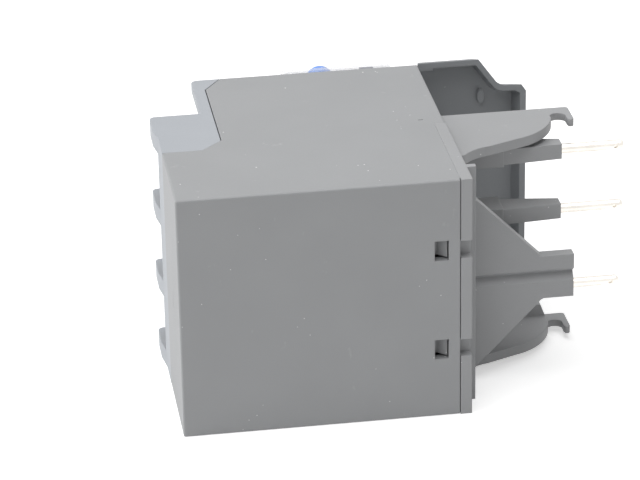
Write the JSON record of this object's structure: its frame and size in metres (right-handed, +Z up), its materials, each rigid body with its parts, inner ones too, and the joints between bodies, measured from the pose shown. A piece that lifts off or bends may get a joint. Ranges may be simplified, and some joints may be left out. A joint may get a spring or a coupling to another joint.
{
  "type": "thermal overload relay",
  "caption": "Three-pole thermal overload relay with contact pins, docking hooks, pin guard, setting dial, buttons and a clear flap.",
  "frame": {"origin": "on the side the relay lies on, under the middle of the housing's length and depth", "axes": "+X from the docking plate towards the load terminals, -Y out of the front panel, +Z up across the poles"},
  "size_m": [0.0831, 0.065, 0.045],
  "materials": {
    "housing_grey": "fine-textured moulded thermoplastic",
    "front_grey": "fine-textured moulded thermoplastic",
    "frame_grey": "fine-textured moulded thermoplastic",
    "shroud_grey": "fine-textured moulded thermoplastic",
    "tinned_copper": "bright tinned wire",
    "clear_plastic": "clear polycarbonate",
    "blue_plastic": "polished moulding",
    "red_plastic": "polished moulding",
    "dark_plastic": "moulded",
    "white_plastic": "moulded",
    "flag_orange": "moulded",
    "slide_plastic": "moulded",
    "insulation": "moulded phenolic",
    "spring_steel": "rolled",
    "bimetal": "rolled strip",
    "glass_sleeve": "woven glass sleeve",
    "copper": "drawn copper",
    "plated_steel": "zinc plated"
  },
  "bodies": {
    "relay": {"aux_bars": "copper", "aux_clamps": "plated_steel", "aux_screws": "plated_steel", "bimetal_1": "bimetal", "bimetal_2": "bimetal", "bimetal_3": "bimetal", "contact_pin_1": "tinned_copper", "contact_pin_2": "tinned_copper", "contact_pin_3": "tinned_copper", "control_panel": "front_grey", "cover_hinge_pin": "plated_steel", "docking_frame": "frame_grey", "fixed_contacts": "copper", "front_housing": "front_grey", "heater_winding_1": "glass_sleeve", "heater_winding_2": "glass_sleeve", "heater_winding_3": "glass_sleeve", "input_link_1": "copper", "input_link_2": "copper", "input_link_3": "copper", "lever_pivot": "plated_steel", "load_clamp_1": "plated_steel", "load_clamp_2": "plated_steel", "load_clamp_3": "plated_steel", "load_screws": "plated_steel", "mechanism_plate": "insulation", "nc_blade": "spring_steel", "no_blade": "spring_steel", "output_strap_1": "copper", "output_strap_2": "copper", "output_strap_3": "copper", "rear_housing": "housing_grey", "reset_spring": "spring_steel", "stop_spring": "spring_steel", "terminal_shroud": "shroud_grey", "test_spring": "spring_steel", "trip_pivot": "plated_steel"},
    "cover": {"clear_cover": "clear_plastic"},
    "dial": {"setting_dial": "white_plastic"},
    "reset": {"reset_button": "blue_plastic"},
    "stop": {"stop_button": "red_plastic"},
    "test": {"test_button": "dark_plastic"},
    "flag": {"trip_indicator": "flag_orange"},
    "slide": {"trip_slide": "slide_plastic"},
    "compensator": {"compensation_lever": "bimetal"},
    "tripper": {"trip_lever": "slide_plastic"}
  },
  "joints": [
    {"name": "cover_hinge", "type": "hinge", "parent": "relay", "child": "cover", "pos_m": [-0.0214, -0.0326, 0.0225], "axis": [0, 0, -1], "range_deg": [0, 95]},
    {"name": "dial_turn", "type": "hinge", "parent": "relay", "child": "dial", "pos_m": [-0.0105, -0.0267, 0.0135], "axis": [0, -1, 0], "range_deg": [-135, 135]},
    {"name": "reset_press", "type": "slide", "parent": "relay", "child": "reset", "axis": [0, 1, 0], "range_m": [0, 0.002], "stiffness_N_per_m": 300, "springref_m": -0.001, "deforming": ["reset_spring"]},
    {"name": "stop_press", "type": "slide", "parent": "relay", "child": "stop", "axis": [0, 1, 0], "range_m": [0, 0.002], "stiffness_N_per_m": 200, "springref_m": -0.001, "deforming": ["stop_spring"]},
    {"name": "test_press", "type": "slide", "parent": "relay", "child": "test", "axis": [0, 1, 0], "range_m": [0, 0.002], "stiffness_N_per_m": 200, "springref_m": -0.001, "deforming": ["test_spring"]},
    {"name": "slide_travel", "type": "slide", "parent": "relay", "child": "slide", "axis": [0, 0, 1], "range_m": [0, 0.002]},
    {"name": "compensator_turn", "type": "hinge", "parent": "relay", "child": "compensator", "pos_m": [-0.0075, -0.0073, 0.0322], "axis": [0, -1, 0], "range_deg": [0, 7]},
    {"name": "tripper_turn", "type": "hinge", "parent": "relay", "child": "tripper", "pos_m": [-0.0195, -0.0073, 0.025], "axis": [0, 1, 0], "range_deg": [0, 11]},
    {"name": "flag_travel", "type": "slide", "parent": "relay", "child": "flag", "axis": [0, 0, 1], "range_m": [0, 0.002]}
  ],
  "couplings": [
    {"joint": "compensator_turn", "follows": "slide_travel", "rad_per_m": 58.1},
    {"joint": "tripper_turn", "follows": "slide_travel", "rad_per_m": 92},
    {"joint": "flag_travel", "follows": "slide_travel", "ratio": 1}
  ]
}
